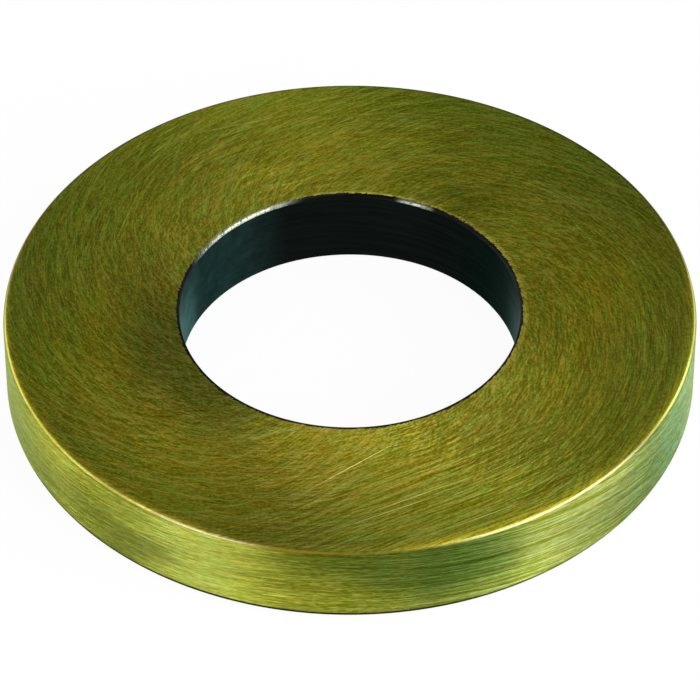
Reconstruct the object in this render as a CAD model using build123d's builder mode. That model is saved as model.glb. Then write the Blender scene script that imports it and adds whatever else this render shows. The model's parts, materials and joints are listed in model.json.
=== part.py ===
# Supply elbow escutcheon: a thick trim ring turned from solid brass.
# It slides over the neck of a supply elbow and covers the hole in the wall that the pipe comes out of.
# Millimetres. The origin is the centre of the face that lies against the wall, and +Z points into the room.
import os

from build123d import *

# Driving dimensions
outside_diameter = 50.8
bore_diameter = 25.0
thickness = 6.35
show_edge_radius = 0.4  # soft round between the rim and the show face
bore_edge_radius = 0.3  # smaller round between the bore and the show face
wall_edge_radius = 0.4  # round between the rim and the wall face
wall_bore_chamfer = 0.3  # lead-in that lets the ring slide onto the neck

bore_radius = bore_diameter / 2
ring_width = (outside_diameter - bore_diameter) / 2

os.makedirs("parts", exist_ok=True)

# The ring: its section stands on the wall face, has its four corners broken, and turns about the pipe's axis.
# In the section X is the distance from that axis and Y the height above the wall face.
with BuildPart() as escutcheon_ring:
    with BuildSketch(Plane.XZ) as section:
        with Locations((bore_radius, 0)):
            Rectangle(ring_width, thickness, align=(Align.MIN, Align.MIN))
        show_rim_corner = section.vertices().group_by(Axis.Y)[-1].sort_by(Axis.X)[-1]
        fillet(show_rim_corner, show_edge_radius)
        show_bore_corner = section.vertices().group_by(Axis.Y)[-1].sort_by(Axis.X)[0]
        fillet(show_bore_corner, bore_edge_radius)
        wall_rim_corner = section.vertices().group_by(Axis.Y)[0].sort_by(Axis.X)[-1]
        fillet(wall_rim_corner, wall_edge_radius)
        wall_bore_corner = section.vertices().group_by(Axis.Y)[0].sort_by(Axis.X)[0]
        chamfer(wall_bore_corner, wall_bore_chamfer)
    revolve(axis=Axis.Z)

escutcheon_ring.part.label = "escutcheon_ring"
export_step(escutcheon_ring.part, "parts/escutcheon_ring.step")
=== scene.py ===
"""A supply elbow's escutcheon in brushed antique brass, on a pale floor in soft studio light.

Metres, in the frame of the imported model.
The origin is the centre of the wall face, and +Z points into the room.
"""
import json
import math

import bpy
import numpy as np
from mathutils import Matrix, Vector


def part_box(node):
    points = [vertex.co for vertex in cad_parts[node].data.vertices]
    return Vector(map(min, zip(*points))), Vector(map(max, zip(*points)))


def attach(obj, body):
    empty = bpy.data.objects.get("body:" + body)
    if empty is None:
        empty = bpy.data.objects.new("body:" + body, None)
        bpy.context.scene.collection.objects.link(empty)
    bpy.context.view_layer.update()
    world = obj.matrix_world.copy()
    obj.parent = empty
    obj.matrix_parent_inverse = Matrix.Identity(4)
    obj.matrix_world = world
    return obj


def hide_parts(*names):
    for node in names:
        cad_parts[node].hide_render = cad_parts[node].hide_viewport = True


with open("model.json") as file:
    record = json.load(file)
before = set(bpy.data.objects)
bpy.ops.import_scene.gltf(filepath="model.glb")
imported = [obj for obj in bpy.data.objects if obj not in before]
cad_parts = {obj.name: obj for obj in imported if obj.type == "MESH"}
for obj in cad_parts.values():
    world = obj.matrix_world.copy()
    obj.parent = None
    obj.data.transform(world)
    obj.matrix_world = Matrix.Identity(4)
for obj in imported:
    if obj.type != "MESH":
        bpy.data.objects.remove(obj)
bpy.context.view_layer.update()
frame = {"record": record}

MM = 0.001

# Sizes of the ring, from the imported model
ring_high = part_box("escutcheon_ring")[1]
neck_bore = next(mount for mount in frame["record"]["mounts"] if mount["name"] == "neck_bore")
OUTSIDE_RADIUS = float(ring_high[0])
THICKNESS = float(ring_high[2])
BORE_RADIUS = neck_bore["dims"]["r_mm"] * MM

# The ring's broken corners, as its solid has them
SHOW_EDGE_RADIUS = 0.4 * MM
BORE_EDGE_RADIUS = 0.3 * MM
WALL_EDGE_RADIUS = 0.4 * MM
WALL_BORE_CHAMFER = 0.3 * MM

# How finely the ring is meshed: steps once round it, along each straight run and round each corner
TURN_STEPS = 640
BORE_STEPS = 6
SHOW_FACE_STEPS = 22
RIM_STEPS = 10
WALL_FACE_STEPS = 10
CHAMFER_STEPS = 2
CORNER_STEPS = 9
EDGE_MARGIN = 0.04 * MM  # a last row this close to each end of a straight run keeps its shading flat
PATINA_RUNS = (0, 6, 7)  # the runs of the section that stay dark: the bore, the wall face and the chamfer

# In the values for the finishes lengths are in millimetres.
# A name that ends in AT is a place: its bearing from the front, to the right, and its spread, in degrees.

# The brush's strokes on the show face
# A slant is the area by which the square of a stroke's radius shrinks in each half radian of turn.
BROAD_SLANTS = (25.0, 85.0, 150.0, 240.0, 420.0)
BROAD_WIDTH = 0.15
BROAD_LENGTH = 5.0
FINE_SLANTS = (60.0, 140.0, 260.0)
FINE_WIDTH = 0.12
FINE_LENGTH = 1.8
FLECK_SLANTS = (45.0, 140.0, 300.0)
FLECK_WIDTH = 0.12
FLECK_LENGTH = 0.7
SPECKLE_SIZE = 0.19
SPECKLE_STRENGTH = 0.7
FLATTER_AT = (48, 56)
FLAT_SLANTS = 2  # how many slants of each set, from the flattest one on, are used there
MAIN_SLANT = 140.0
SOFTENING = 0.30
SOFTER_BACK_AT = (-170, 62)
SOFTER_FRONT_AT = (-12, 36)
SOFTER_RIGHT_AT = (52, 55)
SOFTER_RIGHT_SHARE = 0.7
HAIR_SLANTS = (120.0, 165.0, 260.0)
HAIR_SPACING = 0.55
HAIR_LENGTH = 16.0
HAIR_BAND = 0.018
HAIR_SHARE = 0.45
FAINT_HAIRS_AT = (50, 62)
FAINT_HAIRS_LOSS = 0.85
BLOTCH_WIDTH = 0.7
BLOTCH_LENGTH = 1.6
RIM_BLOTCH_SHARE = 0.5

# A last straight pass of the brush, over the front of the show face
PASS_ANGLE = 28.0
PASS_WIDTH = 0.16
PASS_LENGTH = 9.0
PASS_SHARE = 0.23
PASS_AT = (19, 38)
PASS_RADII = (14.0, 18.0)

# Scratches across the show face
# For each: the middle's x and y, the length, the angle in degrees, and how bright it is
SCRATCHES = (
    (0.1, -16.7, 11.5, 37.5, 0.9),
    (3.8, -20.1, 11.0, 26.0, 0.6),
    (2.6, -21.3, 14.0, 25.0, 0.5),
    (9.8, -21.5, 9.0, 27.0, 0.6),
    (-8.4, 20.6, 12.0, 17.0, 0.35),
    (-16.8, 9.5, 10.0, 74.0, 0.35),
    (16.5, 12.0, 11.0, -38.0, 0.35),
)
SCRATCH_WIDTH = 0.06

# The brush's strokes on the rim
# A tilt is how much a stroke falls per millimetre in x and in y.
RIM_TILTS = ((0.0, 0.22), (0.05, 0.10), (-0.05, 0.16))
RIM_BROAD_WIDTH = 0.17
RIM_BROAD_LENGTH = 6.0
RIM_FINE_WIDTH = 0.07
RIM_FINE_LENGTH = 4.0
RIM_FLECK_WIDTH = 0.08
RIM_FLECK_LENGTH = 0.7
RIM_LINE_WIDTH = 0.10
RIM_LINE_LENGTH = 13.0
RIM_LINES_AT = (38, 38)
RIM_LINES_SHARE = 0.36
RIM_FAINT_AT = (-27, 24)
RIM_FAINT_SHARE = 0.5
RIM_SIDE_FAINT_AT = (-68, 26)
RIM_SIDE_FAINT_SHARE = 0.3

# How the strokes shape the metal
RIM_DEPTHS = (0.05, 0.35)  # between these depths the show face's strokes go over into the rim's
STROKE_DEPTH = 7e-6  # metres
STROKE_STRAY = math.radians(55)  # turn of the grain where one slant wholly covers another
STROKE_ROUGHNESS = 0.6  # how strong the noise's finer layers are
NOISE_MIDDLE = 0.5
CRISP_FROM = (0.45, 0.55)
CRISP_TO = (0.38, 0.62)

# Where each set of strokes starts in the noise, so that no two sets look alike
BROAD_SEED = 0.0
FINE_SEED = 90.0
FLECK_SEED = 400.0
FACE_SEED_STEP = 17.0
HAIR_SEED = 200.0
HAIR_SEED_STEP = 23.0
PASS_SEED = 7.0
BLOTCH_SEED = 300.0
RIM_BROAD_SEED = 5.0
RIM_FINE_SEED = 60.0
RIM_SEED_STEP = 11.0
RIM_FLECK_SEED = 120.0
RIM_LINE_SEED = 160.0
LATHE_SEED = 0.0

# Colours of the brushed finish, as linear red, green and blue
# Stops are the heights of the strokes at which one colour has gone over into the next.
FACE_GROOVE = (0.098, 0.092, 0.0002, 1.0)
FACE_FLANK = (0.141, 0.136, 0.0010, 1.0)
FACE_CREST = (0.317, 0.313, 0.0310, 1.0)
FACE_STOPS = (0.428, 0.479, 0.574)
RIM_GROOVE = (0.147, 0.168, 0.002, 1.0)
RIM_FLANK = (0.208, 0.233, 0.027, 1.0)
RIM_CREST = (0.380, 0.423, 0.084, 1.0)
RIM_STOPS = (0.44, 0.49, 0.59)
HAIR_BRIGHT = (0.38, 0.36, 0.055, 1.0)
SCRATCH_BRIGHT = (0.68, 0.66, 0.14, 1.0)
RUSSET_CAST = (1.08, 0.97, 0.92, 1.0)
VERDANT_CAST = (0.93, 1.03, 1.08, 1.0)
BLOTCH_STOPS = (0.40, 0.60)

# How light the show face is from the bore to the rim, between two radii
FACE_RADII = (13.0, 25.0)
FACE_SHADES = (1.10, 0.86)

# Parts of the show face, each by the radii where it ends and where it is in full, or by its middle and reach
SHADE_INNER_RADII = (20.0, 13.5)
SHADE_OUTER_RADII = (16.0, 21.0)
SHADE_MIDDLE_RADIUS = 19.5
SHADE_MIDDLE_REACH = 5.0
CAST_INNER_RADII = (19.0, 13.5)
CAST_BROAD_RADII = (14.0, 18.0)
CAST_OUTER_RADII = (17.0, 24.5)

# Lighter and darker patches of the show face: the strongest are painted highlight and shade, lighter at the
# front right and back left where the highlights across the strokes fall and darker between them; the weaker
# ones even out its tone
# For each: the part of the face, the bearing, the spread, the lean per millimetre and the change of shade
SHADE_PATCHES = (
    ("inner", 31, 42, 2.5, 0.42),
    ("inner", -62, 50, -3.0, -0.46),
    ("inner", -140, 30, 0.0, 0.22),
    ("inner", 160, 38, 0.0, -0.42),
    ("middle", 38, 26, 0.0, 0.20),
    ("middle", -40, 45, 0.0, 0.12),
    ("outer", -50, 36, 0.0, 0.10),
    ("outer", 8, 28, 0.0, -0.12),
    ("outer", 100, 60, 0.0, -0.10),
    ("outer", -95, 30, 0.0, -0.10),
    ("middle", -177, 42, 0.0, -0.12),
    ("whole", 42, 62, 0.0, 0.09),
    ("inner", -30, 20, 0.0, 0.12),
    ("inner", 30, 16, 0.0, 0.12),
    ("middle", 104, 26, 0.0, 0.13),
)

# Casts on the show face, colours that multiply its own: the bluer one at the front gives a painted highlight
# its paler colour, the others change the patina's hue from place to place
OUTER_CAST = (0.86, 1.0, 1.0, 1.0)
# For each of the others: the part of the face, the bearing, the spread and the colour
FACE_CASTS = (
    ("whole", 18, 50, (1.05, 1.0, 1.46, 1.0)),
    ("whole", -38, 44, (1.10, 1.0, 1.05, 1.0)),
    ("broad", 80, 42, (1.05, 1.0, 0.58, 1.0)),
    ("broad", -100, 46, (0.97, 1.0, 0.52, 1.0)),
    ("inner", -54, 46, (0.86, 1.0, 1.5, 1.0)),
    ("whole", 145, 40, (0.93, 1.0, 0.95, 1.0)),
)

# Casts on the rim, colours that multiply its own, most of them painted light: the pale and sheen casts are
# painted highlights, the rubbed-looking cast makes spots lighter as painted light, the verdant, left and end
# casts are painted greener and bluer reflections, and the warm and dull casts make it warmer and duller
RIM_PALE_CAST = (1.0, 1.0, 1.22, 1.0)
RIM_SHEEN_CAST = (0.87, 0.90, 1.40, 1.0)
RIM_WARM_CAST = (1.05, 1.0, 0.70, 1.0)
RIM_PAINTED_LIGHT_CAST = (1.25, 1.25, 1.15, 1.0)
RIM_VERDANT_CAST = (0.91, 1.05, 1.10, 1.0)
RIM_LEFT_CAST = (0.86, 1.0, 0.90, 1.0)
RIM_END_CAST = (0.82, 1.06, 2.10, 1.0)
# The greenish colour that the painted dark reflection and shade multiply the rim by
RIM_PAINTED_DARK = (0.355, 0.50, 0.38, 1.0)
# Over the rim's whole height: the bearing, the spread, the strength and the colour
RIM_CASTS = (
    (-26, 20, 1.0, RIM_PALE_CAST),
    (45, 40, 1.0, RIM_SHEEN_CAST),
    (-54, 24, 1.0, RIM_WARM_CAST),
    (-9, 15, 1.0, RIM_WARM_CAST),
    (71, 13, 0.8, RIM_PAINTED_LIGHT_CAST),
    (-34, 15, 0.4, RIM_PAINTED_LIGHT_CAST),
    (61, 13, 1.0, RIM_VERDANT_CAST),
    (-84, 26, 1.0, RIM_LEFT_CAST),
    (81, 26, 1.0, RIM_END_CAST),
)
# Spots of painted light: the bearing, the spread, and the depths at which the spot starts to show and shows
# in full
RIM_PAINTED_LIGHT_SPOTS = (
    (-46, 22, 3.5, 1.0),
    (-5, 20, 2.5, 5.0),
    (25, 13, 3.0, 4.5),
    (-50, 9, 3.2, 4.4),
)
RIM_DULL_CAST = (0.85, 0.84, 0.85, 1.0)
RIM_DULL_AT = (45, 12)
RIM_DULL_DEPTH = 3.2
RIM_DULL_REACH = 2.6

# Painted dark on the rim, greenish: a smudge at the front that stands in for a dark reflection and hangs
# lower at its right end, a darker core, and painted shade low down on both sides
SMUDGE_AT = (9, 25)
SMUDGE_DEPTHS = (3.6, 0.8)
SMUDGE_STRENGTH = 0.78
SMUDGE_SAG_AT = (20, 24)
SMUDGE_SAG = 2.5
SMUDGE_CORE_AT = (20, 11)
SMUDGE_CORE = 0.34
LOW_RIGHT_AT = (58, 24)
LOW_RIGHT_DEPTHS = (1.0, 3.5)
LOW_LEFT_AT = (-56, 30)
LOW_LEFT_DEPTHS = (1.5, 4.5)
LOW_STRENGTH = 0.45
# A painted contact shadow: a dark line along the front of the rim's bottom edge
CONTACT_SHADOW = (0.008, 0.012, 0.004, 1.0)
CONTACT_SHADOW_AT = (-12, 75)
CONTACT_SHADOW_HEIGHTS = (0.50, 0.36)

# The worn show edge: insets are measured from the rim, depths from the show face
WORN_BROWN = (0.40, 0.27, 0.012, 1.0)
WORN_YELLOW = (0.46, 0.41, 0.020, 1.0)
WORN_GOLD = (0.48, 0.43, 0.075, 1.0)
# Painted highlights on the worn corner, pale and bright
CORNER_PALE_HIGHLIGHT = (0.44, 0.41, 0.21, 1.0)
CORNER_BRIGHT_HIGHLIGHT = (0.95, 0.90, 0.20, 1.0)
WORN_AMBER = (0.50, 0.33, 0.030, 1.0)
WORN_SHARE = 0.8
BAND_GRAIN = 2.2  # noise cells per millimetre
BAND_INSET = 0.2
BAND_REACH = 2.0
BAND_NARROW = 0.55
BAND_WIDER_AT = (50, 60)
BAND_FULL_INSET = 0.15
BAND_DEPTHS = (0.12, 0.05)
BAND_FAINT_AT = (-6, 20)
BAND_FAINT_LOSS = 0.8
BAND_FRONT_AT = (0, 140)
BAND_YELLOW_AT = (55, 65)
BAND_BREAKS = (0.44, 0.54, 0.25, 1.0)  # from which height of stroke to which, and how much shows at either
CORNER_INSETS = (0.24, 0.15)
CORNER_DEPTHS = (0.22, 0.14)
CORNER_FAINT_AT = (8, 14)
CORNER_FAINT_LOSS = 0.75
# Where the corner's painted highlights fall, pale and bright, on the left and the right
CORNER_PALE_LEFT_AT = (-22, 24)
CORNER_PALE_RIGHT_AT = (42, 38)
CORNER_BRIGHT_LEFT_AT = (-43, 13)
CORNER_BRIGHT_RIGHT_AT = (67, 14)
CORNER_BRIGHT_RIGHT_SHARE = 0.8
CORNER_AMBER_AT = (-6, 13)
# A painted dark reflection along the far side of the show edge
FAR_EDGE_REFLECTION = (0.030, 0.034, 0.004, 1.0)
FAR_EDGE_INSETS = (0.40, 0.28)
FAR_EDGE_DEPTHS = (0.30, 0.15)
FAR_EDGE_AT = (176, 84)
FAR_EDGE_STRENGTH = 0.75

# The bore's lip: distances are measured outwards from where its round ends
BORE_LIP = (0.010, 0.012, 0.011, 1.0)
# A painted silvery highlight on the dark lip
LIP_HIGHLIGHT = (0.40, 0.43, 0.31, 1.0)
LIP_GOLD = (0.52, 0.44, 0.065, 1.0)
LIP_GOLD_SHARE = 0.75
LIP_JAG = 0.9  # millimetres that the whole range of the strokes would move the border by
LIP_DARK_FROM = -0.06
LIP_DARK_FULL = -0.13
LIP_FRONT_AT = (0, 105)
LIP_FRONT_REACH = 0.16
BARE_LIP_GRAIN = 2.5  # noise cells per millimetre
BARE_LIP_JAG = 0.6
BARE_LIP_WIDTH = 0.02
BARE_LIP_WIDER_AT = (95, 55)
BARE_LIP_WIDER_BY = 0.20
BARE_LIP_FADE = (0.14, -0.06)
BARE_LIP_AT = (120, 100)
BARE_LIP_FULL = 0.5
BARE_LIP_BREAKS = (0.46, 0.54, 0.2, 1.0)
# Where the lip's painted highlights fall: at the back left, and a small one at the back right
SILVER_LEFT_AT = (-138, 27)
SILVER_RIGHT_AT = (157, 8)
SILVER_RIGHT_SHARE = 0.7
SILVER_BREAKS = (0.44, 0.54, 0.3, 1.0)

# Roughness of the brushed finish, and the heights of the strokes between which it changes
ROUGHNESS_STOPS = (0.3, 0.7)
GROOVE_ROUGHNESS = 0.58
CREST_ROUGHNESS = 0.48
WORN_ROUGHNESS = 0.42
LIP_ROUGHNESS = 0.60
LIP_HIGHLIGHT_ROUGHNESS = 0.32
# the roughness where the contact shadow and the far edge's dark reflection are painted
SHADOW_AND_REFLECTION_ROUGHNESS = 0.90
BRUSH_ANISOTROPY = 0.9

# The dark finish of the bore and the wall face
BORE_BLACK = (0.0040, 0.0052, 0.0046, 1.0)
BORE_MARK = (0.0065, 0.0082, 0.0074, 1.0)
# A painted blue-green reflection, low in the bore and strongest on its left
BORE_TEAL_REFLECTION = (0.050, 0.134, 0.124, 1.0)
BORE_SHEEN = (0.46, 0.52, 0.50, 1.0)
BORE_ROUGHNESS = (0.52, 0.42)
LATHE_WIDTH = 0.2
LATHE_LENGTH = 12.0
# Where the bore's painted reflection shows: its heights, places, shares and clouds
BORE_REFLECTION_HEIGHTS = (6.5, 1.5)
BORE_REFLECTION_LEFT_AT = (-92, 26)
BORE_REFLECTION_RIGHT_AT = (88, 24)
BORE_REFLECTION_RIGHT_SHARE = 0.4
BORE_REFLECTION_BACK_AT = (-118, 42)
BORE_REFLECTION_BACK_SHARE = 0.2
BORE_REFLECTION_CLOUDS = 0.9  # noise cells per millimetre
BORE_REFLECTION_CLOUD_RANGE = (0.3, 0.7, 0.6, 1.4)
LATHE_STOPS = (0.35, 0.65)

# The floor
FLOOR_HALF = 3.0
FLOOR_DROP = 0.02 * MM
FLOOR_WHITE = 0.8
FLOOR_GLOW_SHARE = 0.95
FLOOR_GLOW = 1.0

# The lamps, all at one distance from the origin
# For each: the bearing, the elevation, the width and height in metres, the brightness and the colour
LAMP_DISTANCE = 0.28
LAMPS = {
    "right_softbox": (64, 22, 0.25, 0.20, 6.5, (1.0, 1.0, 1.12)),
    "left_strip": (-39, 10, 0.115, 0.085, 14.0, (1.0, 1.0, 1.06)),
    "left_wall": (-108, 10, 0.30, 0.09, 4.4, (1.0, 1.0, 0.94)),
    "right_wall": (122, 12, 0.20, 0.11, 4.0, (0.88, 1.0, 1.12)),
    "high_softbox": (35, 58, 0.14, 0.14, 3.0, (1.0, 1.0, 1.06)),
}
WORLD_COLOUR = (1.0, 1.0, 0.97, 1.0)
WORLD_STRENGTH = 0.55

# The camera, as it stood for the photograph
CAMERA_ELEVATION = math.radians(43.32)
CAMERA_DISTANCE = 0.3855
CAMERA_ROLL = math.radians(-0.16)
CAMERA_AIM = Vector((0, 0, 2.06 * MM))
CAMERA_LENS = 267.4  # millimetres, as is the width of the sensor
CAMERA_SENSOR = 36.0


# The ring's shape

def straight(start, end, steps):
    """Points from start up to, not at, end: even steps, plus one row a small margin in from either end."""
    margin = EDGE_MARGIN / math.dist(start, end)
    share = np.concatenate([[0, margin], np.linspace(0, 1, steps + 1)[1:-1], [1 - margin]])
    return np.outer(1 - share, start) + np.outer(share, end)


def rounded(centre, radius, first, last):
    """Points of a rounded corner up to, not at, its end: centre + radius (cos a, sin a), a in even steps."""
    angle = np.radians(np.linspace(first, last, CORNER_STEPS + 1)[:-1])
    return np.asarray(centre) + radius * np.stack([np.cos(angle), np.sin(angle)], axis=1)


def ring_section():
    """The ring's section, once round: (radius, height) points, and the number of the run each belongs to.

    It climbs the bore, crosses the show face, goes down the rim and comes back along the wall face.
    """
    inner, outer, top = BORE_RADIUS, OUTSIDE_RADIUS, THICKNESS
    show_bore = (inner + BORE_EDGE_RADIUS, top - BORE_EDGE_RADIUS)
    show_rim = (outer - SHOW_EDGE_RADIUS, top - SHOW_EDGE_RADIUS)
    wall_rim = (outer - WALL_EDGE_RADIUS, WALL_EDGE_RADIUS)
    wall_bore = inner + WALL_BORE_CHAMFER
    runs = [
        straight((inner, WALL_BORE_CHAMFER), (inner, show_bore[1]), BORE_STEPS),
        rounded(show_bore, BORE_EDGE_RADIUS, 180, 90),
        straight((show_bore[0], top), (show_rim[0], top), SHOW_FACE_STEPS),
        rounded(show_rim, SHOW_EDGE_RADIUS, 90, 0),
        straight((outer, show_rim[1]), (outer, wall_rim[1]), RIM_STEPS),
        rounded(wall_rim, WALL_EDGE_RADIUS, 0, -90),
        straight((wall_rim[0], 0), (wall_bore, 0), WALL_FACE_STEPS),
        straight((wall_bore, 0), (inner, WALL_BORE_CHAMFER), CHAMFER_STEPS),
    ]
    run_of_row = np.repeat(np.arange(len(runs)), [len(run) for run in runs])
    return np.concatenate(runs), run_of_row


def turned_ring(name):
    """The section turned about the pipe's axis: (radius cos t, radius sin t, height) at each angle t."""
    section, run_of_row = ring_section()
    rows, columns = len(section), TURN_STEPS
    turn = np.linspace(0, 2 * np.pi, columns, endpoint=False)
    radius, height = section[:, :1], section[:, 1:]
    points = np.stack(np.broadcast_arrays(radius * np.cos(turn), radius * np.sin(turn), height), axis=-1)

    row, column = np.meshgrid(np.arange(rows), np.arange(columns), indexing="ij")
    next_row, next_column = (row + 1) % rows, (column + 1) % columns
    corners = [(row, column), (next_row, column), (next_row, next_column), (row, next_column)]
    faces = np.stack([r * columns + c for r, c in corners], axis=-1).reshape(-1, 4)

    mesh = bpy.data.meshes.new(name)
    mesh.from_pydata(points.reshape(-1, 3), [], faces)
    mesh.polygons.foreach_set("use_smooth", np.ones(len(faces), bool))
    sharpen_chamfer(mesh, run_of_row, columns)
    mesh.update()
    ring = bpy.data.objects.new(name, mesh)
    bpy.context.collection.objects.link(ring)
    return ring


def sharpen_chamfer(mesh, run_of_row, columns):
    """Marks the two circles that bound the last run, the wall-side chamfer, as sharp edges."""
    first_row = int(np.flatnonzero(run_of_row == run_of_row[-1])[0])
    ends = np.empty(len(mesh.edges) * 2, np.int32)
    mesh.edges.foreach_get("vertices", ends)
    edge_rows = ends.reshape(-1, 2) // columns
    sharp = (edge_rows == first_row).all(axis=1) | (edge_rows == 0).all(axis=1)
    mesh.edges.foreach_set("use_edge_sharp", sharp)


# The finishes

class Finish:
    """A material in the making: each call adds a node, and takes numbers or other nodes' outputs alike."""

    def __init__(self, name):
        self.material = bpy.data.materials.new(name)
        self.material.use_nodes = True
        self.tree = self.material.node_tree
        self.shader = self.tree.nodes["Principled BSDF"]

    def feed(self, socket, value):
        """Joins an output to a socket, or sets the socket to a number, vector or colour."""
        if isinstance(value, bpy.types.NodeSocket):
            self.tree.links.new(value, socket)
        else:
            socket.default_value = value

    def node(self, kind, feeds, **settings):
        """Adds a node of that kind with its settings, and feeds its numbered or named inputs."""
        node = self.tree.nodes.new(kind)
        for setting, value in settings.items():
            setattr(node, setting, value)
        for key, value in feeds.items():
            self.feed(node.inputs[key], value)
        return node

    def maths(self, operation, *values):
        return self.node("ShaderNodeMath", dict(enumerate(values)), operation=operation).outputs[0]

    def times(self, first, second):
        return self.maths("MULTIPLY", first, second)

    def larger(self, first, second):
        return self.maths("MAXIMUM", first, second)

    def plus(self, base, share, value):
        """A value, times its share, on top of a base."""
        return self.maths("MULTIPLY_ADD", value, share, base)

    def average(self, values):
        """The mean of several outputs."""
        total = values[0]
        for value in values[1:]:
            total = self.maths("ADD", total, value)
        return self.times(total, 1 / len(values))

    def vector_maths(self, operation, *values):
        return self.node("ShaderNodeVectorMath", dict(enumerate(values)), operation=operation).outputs[0]

    def vector(self, x, y, z):
        return self.node("ShaderNodeCombineXYZ", {0: x, 1: y, 2: z}).outputs[0]

    def scaled(self, vector, factor):
        return self.node("ShaderNodeVectorMath", {0: vector, "Scale": factor}, operation="SCALE").outputs[0]

    def rise(self, value, low, high, to_low=0.0, to_high=1.0):
        """Runs smoothly from to_low, at low and beyond, to to_high, at high and beyond."""
        feeds = {"Value": value, "From Min": low, "From Max": high, "To Min": to_low, "To Max": to_high}
        return self.node("ShaderNodeMapRange", feeds, interpolation_type="SMOOTHSTEP").outputs["Result"]

    def ramp(self, value, low, high, to_low=0.0, to_high=1.0):
        """Runs straight from to_low, at low and beyond, to to_high, at high and beyond."""
        feeds = {"Value": value, "From Min": low, "From Max": high, "To Min": to_low, "To Max": to_high}
        return self.node("ShaderNodeMapRange", feeds, clamp=True).outputs["Result"]

    def crisp(self, value):
        """Noise with steeper sides and level tops: values near its middle spread out, and others cut off."""
        return self.ramp(value, *CRISP_FROM, *CRISP_TO)

    def mix(self, share, first, second):
        return self.node("ShaderNodeMix", {0: share, 2: first, 3: second}, data_type="FLOAT").outputs[0]

    def tint(self, share, first, second):
        return self.node("ShaderNodeMix", {0: share, 6: first, 7: second}, data_type="RGBA").outputs[2]

    def glaze(self, colour, cast):
        """A colour multiplied by another one."""
        feeds = {0: 1.0, 6: colour, 7: cast}
        return self.node("ShaderNodeMix", feeds, data_type="RGBA", blend_type="MULTIPLY").outputs[2]

    def cast_over(self, colour, share, cast):
        """A colour that goes over, by that share, to itself multiplied by a cast."""
        return self.tint(share, colour, self.glaze(colour, cast))

    def grey(self, value):
        return self.node("ShaderNodeCombineColor", {0: value, 1: value, 2: value}).outputs[0]

    def noise(self, place, scale, detail=2.0, roughness=0.5):
        feeds = {"Vector": place, "Scale": scale, "Detail": detail, "Roughness": roughness}
        return self.node("ShaderNodeTexNoise", feeds).outputs["Fac"]


class RingPlaces:
    """Where a point is on the ring, as node outputs in millimetres and radians."""

    def __init__(self, finish):
        coordinates = finish.node("ShaderNodeTexCoord", {})
        self.place = finish.scaled(coordinates.outputs["Object"], 1 / MM)
        self.x, self.y, self.height = finish.node("ShaderNodeSeparateXYZ", {0: self.place}).outputs
        self.turn = finish.maths("ARCTAN2", self.y, self.x)
        self.square = finish.maths("MULTIPLY_ADD", self.x, self.x, finish.times(self.y, self.y))
        self.radius = finish.maths("SQRT", self.square)
        self.depth = finish.maths("SUBTRACT", THICKNESS / MM, self.height)
        self.normal = finish.node("ShaderNodeNewGeometry", {}).outputs["Normal"]
        middle = (BORE_RADIUS + OUTSIDE_RADIUS) / 2 / MM
        self.outer_half = finish.maths("GREATER_THAN", self.radius, middle)
        self.inner_half = finish.maths("SUBTRACT", 1.0, self.outer_half)
        self.on_rim = finish.times(self.outer_half, finish.rise(self.depth, *RIM_DEPTHS))
        self.finish = finish

    def towards(self, bearing, spread, lean=0.0):
        """1 at that bearing from the front, to the right, falling to 0 at spread to either side, in degrees.

        With a lean the bearing is the one at the bore, and grows by that much per millimetre outwards.
        """
        finish = self.finish
        start = math.radians(90 - bearing + lean * BORE_RADIUS / MM)
        angle = finish.plus(finish.maths("ADD", self.turn, start), -math.radians(lean), self.radius)
        return finish.rise(finish.maths("COSINE", angle), math.cos(math.radians(spread)), 1.0)

    def less_towards(self, bearing, spread, loss):
        """1 all round, less the loss at that bearing."""
        return self.finish.plus(1.0, -loss, self.towards(bearing, spread))

    def plan_distance(self, across_x, across_y, x, y):
        """How far a point is, in plan, from the line through (x, y) that is square to that direction."""
        finish = self.finish
        along_x = finish.plus(-across_x * x - across_y * y, across_x, self.x)
        return finish.plus(along_x, across_y, self.y)

    def along_line(self, angle, x, y):
        """How far a point is, in plan, off the line through (x, y) at that angle, and how far along it."""
        across_x, across_y = -math.sin(math.radians(angle)), math.cos(math.radians(angle))
        off = self.plan_distance(across_x, across_y, x, y)
        return off, self.plan_distance(across_y, -across_x, x, y)

    def near(self, value, centre, reach):
        """1 where that output is at centre, falling to 0 at reach to either side."""
        finish = self.finish
        return finish.rise(finish.maths("ABSOLUTE", finish.maths("SUBTRACT", value, centre)), reach, 0.0)

    def show_edge_strip(self, insets, depths):
        """A strip along the show edge: 0 at the first inset and depth, and 1 from the second ones on."""
        finish = self.finish
        rim = OUTSIDE_RADIUS / MM
        across = finish.rise(self.radius, rim - insets[0], rim - insets[1])
        return finish.times(across, finish.rise(self.depth, *depths))


def spiral_strokes(finish, places, slant, width, length, seed):
    """Strokes that spiral inwards as they go round: noise drawn out along lines of one winding.

    The winding is turn + radius squared / (2 slant), and it stays the same along a stroke.
    """
    middle = (BORE_RADIUS + OUTSIDE_RADIUS) / 2 / MM
    lean = slant / math.hypot(slant, middle * middle)
    across = middle * lean / width
    along = 1 / (length * lean)
    winding = finish.plus(places.turn, 0.5 / slant, places.square)
    place = finish.vector(
        finish.times(finish.maths("COSINE", winding), across),
        finish.times(finish.maths("SINE", winding), across),
        finish.plus(seed, along, places.radius),
    )
    return finish.noise(place, 1.0, detail=1.0, roughness=STROKE_ROUGHNESS)


def spiral_set(finish, places, slants, width, length, seed):
    """One output of spiral strokes for each slant."""
    return [
        spiral_strokes(finish, places, slant, width, length, seed + FACE_SEED_STEP * number)
        for number, slant in enumerate(slants)
    ]


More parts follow.
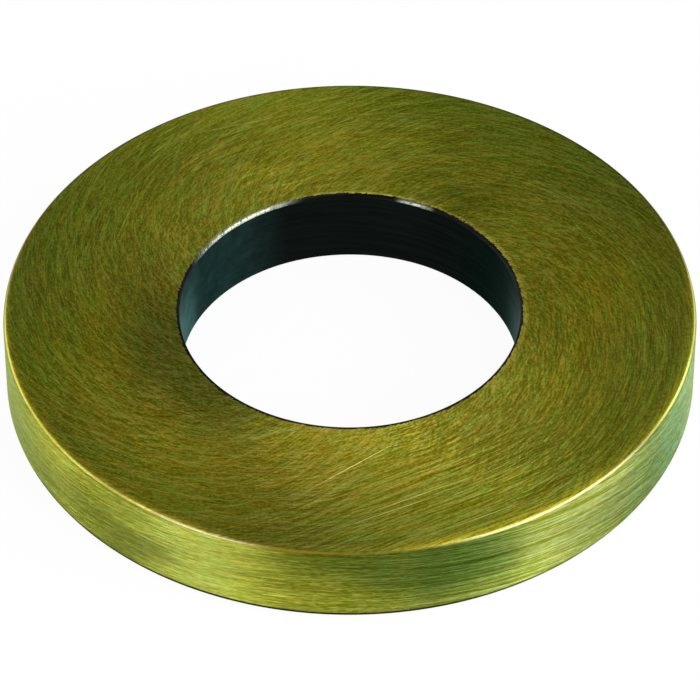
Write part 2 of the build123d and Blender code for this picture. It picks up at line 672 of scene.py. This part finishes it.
def hoop_strokes(finish, places, width, length, seed, tilt):
    """Strokes in slightly tilted hoops round the ring: noise that is fine in height and long in turn."""
    around = OUTSIDE_RADIUS / MM / length
    level = finish.plus(finish.plus(places.height, tilt[0], places.x), tilt[1], places.y)
    place = finish.vector(
        finish.times(finish.maths("COSINE", places.turn), around),
        finish.times(finish.maths("SINE", places.turn), around),
        finish.plus(seed, 1 / width, level),
    )
    return finish.noise(place, 1.0, detail=2.0, roughness=STROKE_ROUGHNESS)


def hoop_set(finish, places, tilts, width, length, seed):
    """One output of hoop strokes for each tilt."""
    return [
        hoop_strokes(finish, places, width, length, seed + RIM_SEED_STEP * number, tilt)
        for number, tilt in enumerate(tilts)
    ]


def face_strokes(finish, places):
    """The show face's strokes, broad, fine and short, over some speckle, and which slant prevails.

    On the right only the flattest slants are used.
    The strokes are softer there, just left of the front and at the back.
    """
    broad = spiral_set(finish, places, BROAD_SLANTS, BROAD_WIDTH, BROAD_LENGTH, BROAD_SEED)
    fine = spiral_set(finish, places, FINE_SLANTS, FINE_WIDTH, FINE_LENGTH, FINE_SEED)
    short = spiral_set(finish, places, FLECK_SLANTS, FLECK_WIDTH, FLECK_LENGTH, FLECK_SEED)
    flecks = [finish.crisp(strokes) for strokes in short]
    flatter = places.towards(*FLATTER_AT)
    layers = [
        finish.mix(flatter, finish.average(layer), finish.average(layer[:FLAT_SLANTS]))
        for layer in (broad, fine, flecks)
    ]
    grain = finish.noise(places.place, 1 / SPECKLE_SIZE, detail=1.0, roughness=STROKE_ROUGHNESS)
    speckle = finish.mix(SPECKLE_STRENGTH, NOISE_MIDDLE, grain)
    strokes = finish.average(layers + [speckle])
    softer = finish.larger(places.towards(*SOFTER_BACK_AT), places.towards(*SOFTER_FRONT_AT))
    softer = finish.larger(softer, finish.times(places.towards(*SOFTER_RIGHT_AT), SOFTER_RIGHT_SHARE))
    strokes = finish.mix(finish.times(softer, SOFTENING), strokes, NOISE_MIDDLE)
    drawn, cover = straight_pass(finish, places)
    return finish.mix(cover, strokes, drawn), finish.maths("SUBTRACT", broad[-1], broad[0])


def straight_pass(finish, places):
    """Straight strokes over the front of the show face, and how much of it they cover.

    They are noise drawn out along one direction in plan.
    """
    off, along = places.along_line(PASS_ANGLE, 0.0, 0.0)
    place = finish.vector(finish.times(off, 1 / PASS_WIDTH), finish.times(along, 1 / PASS_LENGTH), PASS_SEED)
    drawn = finish.crisp(finish.noise(place, 1.0, detail=2.0, roughness=STROKE_ROUGHNESS))
    cover = finish.times(places.towards(*PASS_AT), finish.rise(places.radius, *PASS_RADII))
    return drawn, finish.times(cover, PASS_SHARE)


def rim_strokes(finish, places):
    """The rim's strokes, broad, fine and short, at several tilts, and which tilt prevails.

    They are fainter on the left, and long thin lines are drawn over them on the right.
    """
    level = RIM_TILTS[0]
    broad = hoop_set(finish, places, RIM_TILTS, RIM_BROAD_WIDTH, RIM_BROAD_LENGTH, RIM_BROAD_SEED)
    fine = hoop_set(finish, places, RIM_TILTS[:2], RIM_FINE_WIDTH, RIM_FINE_LENGTH, RIM_FINE_SEED)
    short = hoop_strokes(finish, places, RIM_FLECK_WIDTH, RIM_FLECK_LENGTH, RIM_FLECK_SEED, level)
    long = hoop_strokes(finish, places, RIM_LINE_WIDTH, RIM_LINE_LENGTH, RIM_LINE_SEED, level)
    strokes = finish.average([finish.average(broad), finish.average(fine), finish.crisp(short)])
    lines_share = finish.times(places.towards(*RIM_LINES_AT), RIM_LINES_SHARE)
    strokes = finish.mix(lines_share, strokes, finish.crisp(long))
    for place, share in ((RIM_FAINT_AT, RIM_FAINT_SHARE), (RIM_SIDE_FAINT_AT, RIM_SIDE_FAINT_SHARE)):
        strokes = finish.mix(finish.times(places.towards(*place), share), strokes, NOISE_MIDDLE)
    return strokes, finish.maths("SUBTRACT", broad[-1], broad[1])


def hairlines(finish, places):
    """Long thin bright lines along the strokes: narrow bands about the middle value of drawn-out noise.

    They are faint on the right.
    """
    total = 0.0
    for number, slant in enumerate(HAIR_SLANTS):
        seed = HAIR_SEED + HAIR_SEED_STEP * number
        drawn = spiral_strokes(finish, places, slant, HAIR_SPACING, HAIR_LENGTH, seed)
        total = finish.larger(places.near(drawn, NOISE_MIDDLE, HAIR_BAND), total)
    return finish.times(total, places.less_towards(*FAINT_HAIRS_AT, FAINT_HAIRS_LOSS))


def scratches(finish, places):
    """Single straight scratches: narrow bands about lines in plan, tapering towards both ends."""
    total = 0.0
    for x, y, length, angle, strength in SCRATCHES:
        off, along = places.along_line(angle, x, y)
        line = finish.times(places.near(off, 0.0, SCRATCH_WIDTH), places.near(along, 0.0, length / 2))
        total = finish.larger(finish.times(line, strength), total)
    return total


def across_strokes(finish, places, prevails):
    """The direction in the surface square to the strokes: the normal crossed with the stroke's direction.

    A stroke goes round the ring, and on the show face also inwards.
    For each radius that it goes round, it goes in by slant / radius.
    Where one of the slants prevails, the direction turns with it.
    """
    slant = finish.mix(places.on_rim, MAIN_SLANT, 0.0)
    outwards = finish.vector(places.x, places.y, 0.0)
    around = finish.vector(finish.times(places.y, -1.0), places.x, 0.0)
    inwards = finish.scaled(outwards, finish.maths("DIVIDE", slant, places.square))
    stroke = finish.vector_maths("SUBTRACT", around, inwards)
    across = finish.vector_maths("NORMALIZE", finish.vector_maths("CROSS_PRODUCT", places.normal, stroke))
    feeds = {"Vector": across, "Axis": places.normal, "Angle": finish.times(prevails, STROKE_STRAY)}
    return finish.node("ShaderNodeVectorRotate", feeds, rotation_type="AXIS_ANGLE").outputs[0]


def stroke_colour(finish, strokes, stops, groove, flank, crest):
    """Groove, flank and crest: each colour blends straight into the next from stop to stop."""
    colour = finish.tint(finish.ramp(strokes, stops[0], stops[1]), groove, flank)
    return finish.tint(finish.ramp(strokes, stops[1], stops[2]), colour, crest)


def face_colour(finish, places, strokes):
    """The show face: its strokes, hairlines and scratches under its painted light and shade and its casts.
    """
    colour = stroke_colour(finish, strokes, FACE_STOPS, FACE_GROOVE, FACE_FLANK, FACE_CREST)
    colour = finish.tint(finish.times(hairlines(finish, places), HAIR_SHARE), colour, HAIR_BRIGHT)
    colour = finish.tint(scratches(finish, places), colour, SCRATCH_BRIGHT)
    # Painted highlight and shade from the patches, with the fall from bore to rim
    colour = finish.glaze(colour, finish.grey(face_shade(finish, places)))
    return face_hue(finish, places, colour)


def face_shade(finish, places):
    """How light each place of the show face is: a fall from bore to rim, plus the patches of painted
    highlight and shade and of tone.
    """
    parts = {
        "inner": finish.rise(places.radius, *SHADE_INNER_RADII),
        "middle": places.near(places.radius, SHADE_MIDDLE_RADIUS, SHADE_MIDDLE_REACH),
        "outer": finish.rise(places.radius, *SHADE_OUTER_RADII),
        "whole": 1.0,
    }
    shade = finish.ramp(places.radius, *FACE_RADII, *FACE_SHADES)
    for part, bearing, spread, lean, change in SHADE_PATCHES:
        patch = finish.times(places.towards(bearing, spread, lean), parts[part])
        shade = finish.plus(shade, change, patch)
    return shade


def face_hue(finish, places, colour):
    """The show face's colour under its casts, one of them the paler colour of a painted highlight at the
    front.
    """
    parts = {
        "inner": finish.rise(places.radius, *CAST_INNER_RADII),
        "broad": finish.rise(places.radius, *CAST_BROAD_RADII),
        "whole": 1.0,
    }
    colour = finish.cast_over(colour, finish.rise(places.radius, *CAST_OUTER_RADII), OUTER_CAST)
    for part, bearing, spread, cast in FACE_CASTS:
        share = finish.times(places.towards(bearing, spread), parts[part])
        colour = finish.cast_over(colour, share, cast)
    return colour


def rim_colour(finish, places, strokes):
    """The rim: its strokes under its casts, most of them painted highlights and reflections, and then its
    painted dark reflection and shade.
    """
    colour = stroke_colour(finish, strokes, RIM_STOPS, RIM_GROOVE, RIM_FLANK, RIM_CREST)
    for bearing, spread, strength, cast in RIM_CASTS:
        share = finish.times(places.towards(bearing, spread), strength)
        colour = finish.cast_over(colour, share, cast)
    for bearing, spread, start, full in RIM_PAINTED_LIGHT_SPOTS:
        share = finish.times(places.towards(bearing, spread), finish.rise(places.depth, start, full))
        colour = finish.cast_over(colour, share, RIM_PAINTED_LIGHT_CAST)
    level = places.near(places.depth, RIM_DULL_DEPTH, RIM_DULL_REACH)
    colour = finish.cast_over(colour, finish.times(places.towards(*RIM_DULL_AT), level), RIM_DULL_CAST)
    # Then the painted dark reflection and shade, greenish
    return finish.cast_over(colour, rim_painted_dark(finish, places), RIM_PAINTED_DARK)


def rim_painted_dark(finish, places):
    """How much greenish dark is painted on the rim: a smudge, a painted dark reflection that fades
    downwards, and painted shade low on both sides.
    """
    level = finish.plus(places.depth, -SMUDGE_SAG, places.towards(*SMUDGE_SAG_AT))
    hanging = finish.rise(level, *SMUDGE_DEPTHS, 0.0, SMUDGE_STRENGTH)
    smudge = finish.times(places.towards(*SMUDGE_AT), hanging)
    smudge = finish.plus(smudge, SMUDGE_CORE, places.towards(*SMUDGE_CORE_AT))
    low_right = finish.times(places.towards(*LOW_RIGHT_AT), finish.rise(places.depth, *LOW_RIGHT_DEPTHS))
    low_left = finish.times(places.towards(*LOW_LEFT_AT), finish.rise(places.depth, *LOW_LEFT_DEPTHS))
    return finish.plus(smudge, LOW_STRENGTH, finish.maths("ADD", low_right, low_left))


def mottled(finish, places, colour):
    """A colour with russet and verdant blotches that follow the strokes, half as strong on the rim."""
    blotches = finish.mix(
        places.on_rim,
        spiral_strokes(finish, places, MAIN_SLANT, BLOTCH_WIDTH, BLOTCH_LENGTH, BLOTCH_SEED),
        hoop_strokes(finish, places, BLOTCH_WIDTH, BLOTCH_LENGTH, BLOTCH_SEED, RIM_TILTS[0]),
    )
    cast = finish.tint(finish.ramp(blotches, *BLOTCH_STOPS), RUSSET_CAST, VERDANT_CAST)
    return finish.cast_over(colour, finish.mix(places.on_rim, 1.0, RIM_BLOTCH_SHARE), cast)


def worn_edge(finish, places, on_face):
    """Where wear has bared the metal, in a broken band inside the show edge and along its corner itself.

    Both are fainter near the very front.
    At the back the band fades out, and the third output says where a dark reflection is painted along the
    edge.
    """
    rim = OUTSIDE_RADIUS / MM
    wander = finish.noise(places.place, BAND_GRAIN, detail=4.0, roughness=0.7)
    reach = finish.plus(BAND_NARROW, 1 - BAND_NARROW, places.towards(*BAND_WIDER_AT))
    wandering = finish.times(finish.times(wander, BAND_REACH), reach)
    inside = finish.maths("SUBTRACT", rim - BAND_INSET, wandering)
    band = finish.rise(places.radius, inside, rim - BAND_FULL_INSET)
    band = finish.times(band, finish.rise(places.depth, *BAND_DEPTHS))
    band = finish.times(band, finish.ramp(on_face, *BAND_BREAKS))
    band = finish.times(band, places.less_towards(*BAND_FAINT_AT, BAND_FAINT_LOSS))
    band = finish.times(band, places.towards(*BAND_FRONT_AT))
    corner = places.show_edge_strip(CORNER_INSETS, CORNER_DEPTHS)
    corner = finish.times(corner, places.less_towards(*CORNER_FAINT_AT, CORNER_FAINT_LOSS))
    far_edge_reflection = places.show_edge_strip(FAR_EDGE_INSETS, FAR_EDGE_DEPTHS)
    far_edge_reflection = finish.times(far_edge_reflection, finish.times(places.towards(*FAR_EDGE_AT), FAR_EDGE_STRENGTH))
    return band, corner, far_edge_reflection


def corner_colour(finish, places):
    """The bare metal of the show edge's corner: gold, with painted highlights that make it paler and
    brighter in places, amber at the front.
    """
    pale = finish.larger(places.towards(*CORNER_PALE_LEFT_AT), places.towards(*CORNER_PALE_RIGHT_AT))
    bright_right = finish.times(places.towards(*CORNER_BRIGHT_RIGHT_AT), CORNER_BRIGHT_RIGHT_SHARE)
    bright = finish.larger(places.towards(*CORNER_BRIGHT_LEFT_AT), bright_right)
    colour = finish.tint(pale, WORN_GOLD, CORNER_PALE_HIGHLIGHT)
    colour = finish.tint(bright, colour, CORNER_BRIGHT_HIGHLIGHT)
    return finish.tint(places.towards(*CORNER_AMBER_AT), colour, WORN_AMBER)


def bore_lip(finish, places, on_face):
    """Where the bore's dark patina reaches over its rounded lip, and where the lip is worn to bare metal.

    The strokes make both borders jagged and break the bare metal up.
    Patina reaches right over the lip at the front, and stays lower elsewhere.
    """
    lip_end = (BORE_RADIUS + BORE_EDGE_RADIUS) / MM
    border = finish.plus(places.radius, LIP_JAG, finish.maths("SUBTRACT", on_face, NOISE_MIDDLE))
    border = finish.maths("SUBTRACT", border, finish.times(places.towards(*LIP_FRONT_AT), LIP_FRONT_REACH))
    dark = finish.rise(border, lip_end + LIP_DARK_FROM, lip_end + LIP_DARK_FULL)
    width = finish.plus(BARE_LIP_WIDTH, BARE_LIP_WIDER_BY, places.towards(*BARE_LIP_WIDER_AT))
    outside = finish.maths("SUBTRACT", border, finish.maths("ADD", width, lip_end))
    grain = finish.noise(places.place, BARE_LIP_GRAIN, detail=4.0, roughness=0.7)
    outside = finish.plus(outside, BARE_LIP_JAG, finish.maths("SUBTRACT", grain, NOISE_MIDDLE))
    bare = finish.rise(outside, *BARE_LIP_FADE)
    bare = finish.times(bare, finish.ramp(on_face, *BARE_LIP_BREAKS))
    return dark, finish.times(bare, finish.rise(places.towards(*BARE_LIP_AT), 0.0, BARE_LIP_FULL))


def painted_lip_highlights(finish, places, on_face):
    """Where silvery highlights are painted on the dark lip: in two places at the back, broken along the
    strokes.
    """
    right = finish.times(places.towards(*SILVER_RIGHT_AT), SILVER_RIGHT_SHARE)
    lip_highlights = finish.larger(places.towards(*SILVER_LEFT_AT), right)
    return finish.times(lip_highlights, finish.ramp(on_face, *SILVER_BREAKS))


def brushed_brass():
    """The show face and rim: patina brushed back along the strokes, and worn off along the edges."""
    finish = Finish("brushed_antique_brass")
    places = RingPlaces(finish)
    on_face, face_slant = face_strokes(finish, places)
    on_side, side_tilt = rim_strokes(finish, places)
    strokes = finish.mix(places.on_rim, on_face, on_side)
    prevails = finish.mix(places.on_rim, face_slant, side_tilt)
    # Painted contact shadow along the front of the rim's bottom edge
    contact_shadow = finish.times(places.towards(*CONTACT_SHADOW_AT), finish.rise(places.height, *CONTACT_SHADOW_HEIGHTS))
    band, corner, far_edge_reflection = worn_edge(finish, places, on_face)
    lip, bare = bore_lip(finish, places, on_face)
    lip_highlights = painted_lip_highlights(finish, places, on_face)

    side_colour = finish.tint(contact_shadow, rim_colour(finish, places, strokes), CONTACT_SHADOW)
    colour = finish.tint(places.on_rim, face_colour(finish, places, strokes), side_colour)
    colour = mottled(finish, places, colour)
    band_colour = finish.tint(places.towards(*BAND_YELLOW_AT), WORN_BROWN, WORN_YELLOW)
    colour = finish.tint(finish.times(band, WORN_SHARE), colour, band_colour)
    colour = finish.tint(finish.times(corner, WORN_SHARE), colour, corner_colour(finish, places))
    # The painted dark reflection along the far side of the show edge
    colour = finish.tint(far_edge_reflection, colour, FAR_EDGE_REFLECTION)
    colour = finish.tint(finish.times(bare, LIP_GOLD_SHARE), colour, LIP_GOLD)
    # The lip's dark patina, with its painted highlights at the back
    colour = finish.tint(lip, colour, finish.tint(lip_highlights, BORE_LIP, LIP_HIGHLIGHT))

    roughness = finish.ramp(strokes, *ROUGHNESS_STOPS, GROOVE_ROUGHNESS, CREST_ROUGHNESS)
    roughness = finish.mix(corner, roughness, WORN_ROUGHNESS)
    roughness = finish.mix(lip, roughness, finish.mix(lip_highlights, LIP_ROUGHNESS, LIP_HIGHLIGHT_ROUGHNESS))
    # Where the contact shadow and the far edge's dark reflection are painted, the metal is rougher
    roughness = finish.mix(finish.larger(contact_shadow, far_edge_reflection), roughness, SHADOW_AND_REFLECTION_ROUGHNESS)

    shader = finish.shader
    finish.feed(shader.inputs["Base Color"], colour)
    finish.feed(shader.inputs["Roughness"], roughness)
    finish.feed(shader.inputs["Tangent"], across_strokes(finish, places, prevails))
    bump = finish.node("ShaderNodeBump", {"Height": strokes, "Strength": 1.0, "Distance": STROKE_DEPTH})
    finish.feed(shader.inputs["Normal"], bump.outputs[0])
    shader.inputs["Metallic"].default_value = 1.0
    shader.inputs["Anisotropic"].default_value = BRUSH_ANISOTROPY
    return finish.material


def black_patina():
    """The bore and the wall face: dark patina over fine lathe marks, with a painted blue-green reflection
    low in the bore.
    """
    finish = Finish("black_patina")
    places = RingPlaces(finish)
    marks = hoop_strokes(finish, places, LATHE_WIDTH, LATHE_LENGTH, LATHE_SEED, RIM_TILTS[1])
    # A painted blue-green reflection, low in the bore, broken into clouds
    low = finish.rise(places.height, *BORE_REFLECTION_HEIGHTS)
    left = finish.times(places.towards(*BORE_REFLECTION_LEFT_AT), low)
    right = finish.times(finish.times(places.towards(*BORE_REFLECTION_RIGHT_AT), low), BORE_REFLECTION_RIGHT_SHARE)
    teal_reflection = finish.plus(finish.maths("ADD", left, right), BORE_REFLECTION_BACK_SHARE, places.towards(*BORE_REFLECTION_BACK_AT))
    clouds = finish.noise(places.place, BORE_REFLECTION_CLOUDS, detail=4.0, roughness=0.65)
    teal_reflection = finish.times(teal_reflection, finish.ramp(clouds, *BORE_REFLECTION_CLOUD_RANGE))
    teal_reflection = finish.times(places.inner_half, teal_reflection)
    colour = finish.tint(finish.ramp(marks, *LATHE_STOPS), BORE_BLACK, BORE_MARK)
    shader = finish.shader
    finish.feed(shader.inputs["Base Color"], finish.tint(teal_reflection, colour, BORE_TEAL_REFLECTION))
    finish.feed(shader.inputs["Roughness"], finish.ramp(marks, *ROUGHNESS_STOPS, *BORE_ROUGHNESS))
    shader.inputs["Metallic"].default_value = 1.0
    shader.inputs["Specular Tint"].default_value = BORE_SHEEN
    return finish.material


# The floor, the lights and the camera

def pale_floor():
    """A square of plain pale floor just under the ring: corners at plus and minus half its size."""
    half, level = FLOOR_HALF, -FLOOR_DROP
    corners = [(-half, -half, level), (half, -half, level), (half, half, level), (-half, half, level)]
    mesh = bpy.data.meshes.new("pale_floor")
    mesh.from_pydata(corners, [], [(0, 1, 2, 3)])
    floor = bpy.data.objects.new("pale_floor", mesh)
    bpy.context.collection.objects.link(floor)
    mesh.materials.append(floor_paint())
    return floor


def floor_paint():
    """White paint that keeps a soft shadow, and looks white to the camera and in the metal."""
    finish = Finish("floor_paint")
    nodes = finish.tree.nodes
    nodes.remove(finish.shader)
    white = (FLOOR_WHITE, FLOOR_WHITE, FLOOR_WHITE, 1)
    paint = finish.node("ShaderNodeBsdfDiffuse", {"Color": white})
    glow = finish.node("ShaderNodeEmission", {"Strength": FLOOR_GLOW})
    ray = finish.node("ShaderNodeLightPath", {}).outputs
    seen_in_metal = finish.larger(ray["Is Glossy Ray"], ray["Is Transmission Ray"])
    seen = finish.larger(ray["Is Camera Ray"], seen_in_metal)
    share = finish.times(seen, FLOOR_GLOW_SHARE)
    mix = finish.node("ShaderNodeMixShader", {0: share, 1: paint.outputs[0], 2: glow.outputs[0]})
    finish.feed(nodes["Material Output"].inputs["Surface"], mix.outputs[0])
    return finish.material


def softbox(name, bearing, elevation, width, height, brightness, colour):
    """A soft lamp that faces the origin: its bearing is from the front, to the right, in degrees.

    Its power is brightness * pi * area, so that brightness is the radiance of its face.
    """
    lamp = bpy.data.lights.new(name, "AREA")
    lamp.shape = "RECTANGLE"
    lamp.size = width
    lamp.size_y = height
    lamp.energy = brightness * math.pi * width * height
    lamp.color = colour
    bearing, elevation = math.radians(bearing), math.radians(elevation)
    flat = math.cos(elevation)
    direction = Vector((flat * math.sin(bearing), -flat * math.cos(bearing), math.sin(elevation)))
    place = LAMP_DISTANCE * direction
    box = bpy.data.objects.new(name, lamp)
    box.location = place
    box.rotation_euler = place.to_track_quat("Z", "Y").to_euler()
    box.visible_camera = False
    bpy.context.collection.objects.link(box)


def studio_world():
    """Even, slightly warm light from all sides."""
    world = bpy.data.worlds.new("studio")
    world.use_nodes = True
    background = world.node_tree.nodes["Background"]
    background.inputs["Color"].default_value = WORLD_COLOUR
    background.inputs["Strength"].default_value = WORLD_STRENGTH
    bpy.context.scene.world = world


def studio_camera():
    """The camera in front of the ring, raised, aimed at it and turned a little about its own axis."""
    lens = bpy.data.cameras.new("studio_camera")
    lens.lens = CAMERA_LENS
    lens.sensor_width = CAMERA_SENSOR
    camera = bpy.data.objects.new("studio_camera", lens)
    place = CAMERA_DISTANCE * Vector((0, -math.cos(CAMERA_ELEVATION), math.sin(CAMERA_ELEVATION)))
    look = (CAMERA_AIM - place).to_track_quat("-Z", "Y").to_matrix().to_4x4()
    camera.matrix_world = Matrix.Translation(place) @ look @ Matrix.Rotation(CAMERA_ROLL, 4, "Z")
    bpy.context.collection.objects.link(camera)
    bpy.context.scene.camera = camera


# The scene

ring = turned_ring("brushed_ring")
ring.data.materials.append(brushed_brass())
ring.data.materials.append(black_patina())
face_finish = np.isin(ring_section()[1], PATINA_RUNS).astype(np.int32)
ring.data.polygons.foreach_set("material_index", np.repeat(face_finish, TURN_STEPS))
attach(ring, "root")
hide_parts("escutcheon_ring")

pale_floor()
for lamp_name, lamp_values in LAMPS.items():
    softbox(lamp_name, *lamp_values)
studio_world()
studio_camera()
bpy.context.scene.view_settings.view_transform = "Standard"
